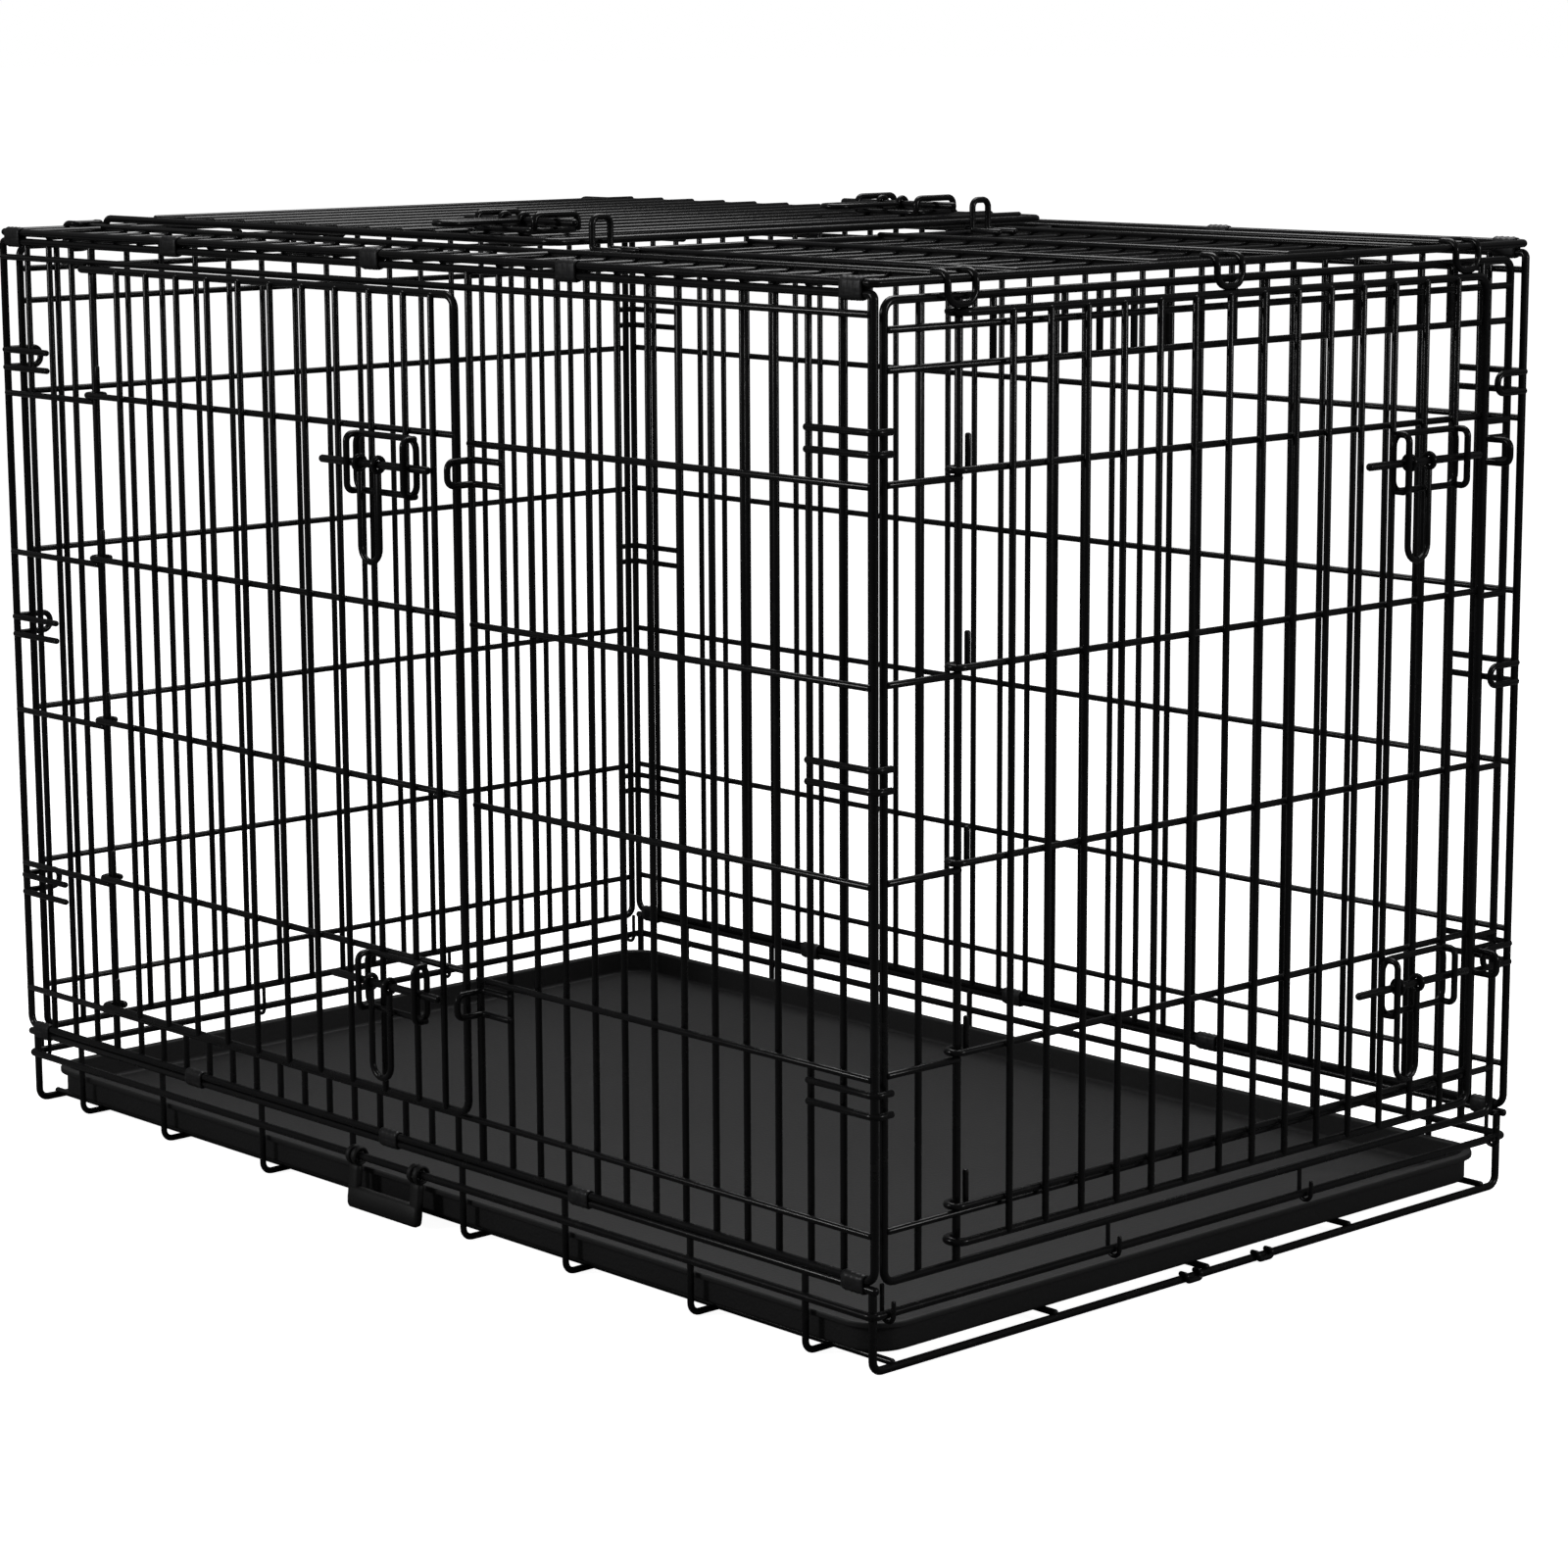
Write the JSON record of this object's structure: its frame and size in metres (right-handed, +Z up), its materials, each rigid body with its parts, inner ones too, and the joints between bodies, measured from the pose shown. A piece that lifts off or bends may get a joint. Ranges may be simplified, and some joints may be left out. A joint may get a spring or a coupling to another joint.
{
  "type": "wire dog crate",
  "caption": "Folding black wire dog crate with side, end and top doors on sliding bolts, a pull-out plastic pan and a carry handle.",
  "frame": {"origin": "on the floor, under the middle of the whole outline including the bolts and the carry handle", "axes": "+Z up, +X along the crate towards the end with the door, -Y towards the side with the door"},
  "size_m": [1.0944, 0.7354, 0.7867],
  "materials": {
    "black_wire": "semi-gloss black coating on steel wire",
    "clip_steel": "dark coated sheet steel, slightly worn",
    "black_plastic": "fine moulded texture, matte"
  },
  "bodies": {
    "root": {"floor_grid": "black_wire", "front_side_panel": "black_wire", "rear_side_panel": "black_wire", "top_panel": "black_wire", "front_bottom_clip_1": "clip_steel", "front_bottom_clip_2": "clip_steel", "front_bottom_clip_3": "clip_steel", "front_bottom_clip_4": "clip_steel", "front_bottom_clip_5": "clip_steel", "front_top_clip_1": "clip_steel", "front_top_clip_2": "clip_steel", "front_top_clip_3": "clip_steel", "front_top_clip_4": "clip_steel", "front_top_clip_5": "clip_steel", "rear_bottom_clip_1": "clip_steel", "rear_bottom_clip_2": "clip_steel", "rear_bottom_clip_3": "clip_steel", "rear_bottom_clip_4": "clip_steel", "rear_bottom_clip_5": "clip_steel", "rear_top_clip_1": "clip_steel", "rear_top_clip_2": "clip_steel", "rear_top_clip_3": "clip_steel", "rear_top_clip_4": "clip_steel", "rear_top_clip_5": "clip_steel", "side_upper_keeper": "black_wire", "side_lower_keeper": "black_wire", "top_front_keeper": "black_wire", "top_rear_keeper": "black_wire"},
    "pan": {"pan": "black_plastic"},
    "right_end": {"right_end_panel": "black_wire", "end_upper_keeper": "black_wire", "end_lower_keeper": "black_wire"},
    "left_end": {"left_end_panel": "black_wire"},
    "side_door": {"side_door": "black_wire", "side_upper_guide": "black_wire", "side_lower_guide": "black_wire"},
    "end_door": {"end_door": "black_wire", "end_upper_guide": "black_wire", "end_lower_guide": "black_wire"},
    "top_door": {"top_door": "black_wire", "top_front_guide": "black_wire", "top_rear_guide": "black_wire"},
    "carry_handle": {"carry_handle": "black_plastic"},
    "side_upper_bolt": {"side_upper_bolt": "black_wire"},
    "side_upper_handle": {"side_upper_handle": "black_wire"},
    "side_lower_bolt": {"side_lower_bolt": "black_wire"},
    "side_lower_handle": {"side_lower_handle": "black_wire"},
    "end_upper_bolt": {"end_upper_bolt": "black_wire"},
    "end_upper_handle": {"end_upper_handle": "black_wire"},
    "end_lower_bolt": {"end_lower_bolt": "black_wire"},
    "end_lower_handle": {"end_lower_handle": "black_wire"},
    "top_front_bolt": {"top_front_bolt": "black_wire"},
    "top_front_handle": {"top_front_handle": "black_wire"},
    "top_rear_bolt": {"top_rear_bolt": "black_wire"},
    "top_rear_handle": {"top_rear_handle": "black_wire"}
  },
  "joints": [
    {"name": "pan_slide", "type": "slide", "parent": "root", "child": "pan", "axis": [1, 0, 0], "range_m": [0, 0.8]},
    {"name": "right_end_fold", "type": "hinge", "parent": "root", "child": "right_end", "pos_m": [0.5198, 0.01235, 0.0445], "axis": [0, -1, 0], "range_deg": [0, 86]},
    {"name": "left_end_fold", "type": "hinge", "parent": "root", "child": "left_end", "pos_m": [-0.5412, 0.01235, 0.0445], "axis": [0, 1, 0], "range_deg": [0, 90]},
    {"name": "side_door_hinge", "type": "hinge", "parent": "root", "child": "side_door", "pos_m": [-0.4088, -0.33865, 0.42], "axis": [0, 0, -1], "range_deg": [0, 145]},
    {"name": "end_door_hinge", "type": "hinge", "parent": "right_end", "child": "end_door", "pos_m": [0.5158, -0.25449, 0.409], "axis": [0, 0, 1], "range_deg": [-145, 0]},
    {"name": "top_door_hinge", "type": "hinge", "parent": "root", "child": "top_door", "pos_m": [-0.50833, 0.01235, 0.7576], "axis": [0, -1, 0], "range_deg": [0, 145]},
    {"name": "carry_handle_hinge", "type": "hinge", "parent": "root", "child": "carry_handle", "pos_m": [-0.0312, -0.34025, 0.0445], "axis": [-1, 0, 0], "range_deg": [0, 90]},
    {"name": "side_upper_slide", "type": "slide", "parent": "side_door", "child": "side_upper_bolt", "axis": [1, 0, 0], "range_m": [0, 0.032]},
    {"name": "side_upper_swing", "type": "hinge", "parent": "side_upper_bolt", "child": "side_upper_handle", "pos_m": [-0.00898, -0.36005, 0.601], "axis": [-1, 0, 0], "range_deg": [0, 160]},
    {"name": "side_lower_slide", "type": "slide", "parent": "side_door", "child": "side_lower_bolt", "axis": [1, 0, 0], "range_m": [0, 0.032]},
    {"name": "side_lower_swing", "type": "hinge", "parent": "side_lower_bolt", "child": "side_lower_handle", "pos_m": [-0.00898, -0.36005, 0.197], "axis": [-1, 0, 0], "range_deg": [0, 160]},
    {"name": "end_upper_slide", "type": "slide", "parent": "end_door", "child": "end_upper_bolt", "axis": [0, 1, 0], "range_m": [0, 0.032]},
    {"name": "end_upper_swing", "type": "hinge", "parent": "end_upper_bolt", "child": "end_upper_handle", "pos_m": [0.5372, 0.21697, 0.6], "axis": [0, -1, 0], "range_deg": [0, 160]},
    {"name": "end_lower_slide", "type": "slide", "parent": "end_door", "child": "end_lower_bolt", "axis": [0, 1, 0], "range_m": [0, 0.032]},
    {"name": "end_lower_swing", "type": "hinge", "parent": "end_lower_bolt", "child": "end_lower_handle", "pos_m": [0.5372, 0.21697, 0.195], "axis": [0, -1, 0], "range_deg": [0, 160]},
    {"name": "top_front_slide", "type": "slide", "parent": "top_door", "child": "top_front_bolt", "axis": [1, 0, 0], "range_m": [0, 0.032]},
    {"name": "top_front_swing", "type": "hinge", "parent": "top_front_bolt", "child": "top_front_handle", "pos_m": [-0.00898, -0.21415, 0.779], "axis": [-1, 0, 0], "range_deg": [0, 160]},
    {"name": "top_rear_slide", "type": "slide", "parent": "top_door", "child": "top_rear_bolt", "axis": [1, 0, 0], "range_m": [0, 0.032]},
    {"name": "top_rear_swing", "type": "hinge", "parent": "top_rear_bolt", "child": "top_rear_handle", "pos_m": [-0.00898, 0.19335, 0.779], "axis": [-1, 0, 0], "range_deg": [0, 160]}
  ]
}
